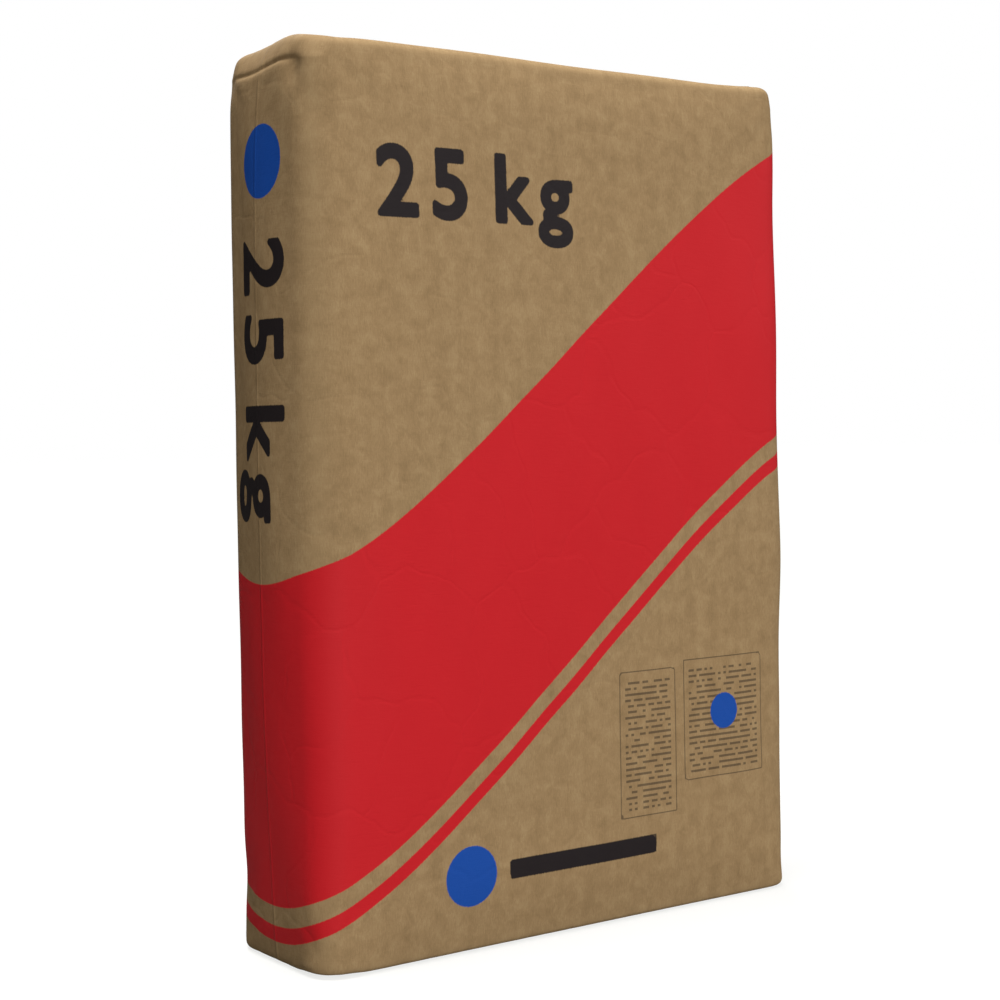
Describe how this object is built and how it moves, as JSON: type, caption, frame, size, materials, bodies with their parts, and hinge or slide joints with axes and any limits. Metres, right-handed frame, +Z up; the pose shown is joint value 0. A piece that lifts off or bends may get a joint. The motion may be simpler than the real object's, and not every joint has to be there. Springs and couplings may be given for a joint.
{
  "type": "cement bag",
  "caption": "Filled block-shaped paper valve sack of cement standing on its bottom end, with pasted cover sheets and a flat valve sleeve.",
  "frame": {"origin": "middle of the underside of the bottom cover sheet, on the floor", "axes": "+Z up along the height, front face towards -Y, +X along the width, filling valve at the -X end of the top"},
  "size_m": [0.3508, 0.1118, 0.5],
  "materials": {
    "kraft": "matte",
    "valve_paper": "matte",
    "cement": "matte"
  },
  "bodies": {
    "root": {"paper_sack": "kraft", "top_cover_sheet": "kraft", "bottom_cover_sheet": "kraft", "valve_sleeve": "valve_paper", "cement_fill": "cement"}
  },
  "joints": []
}
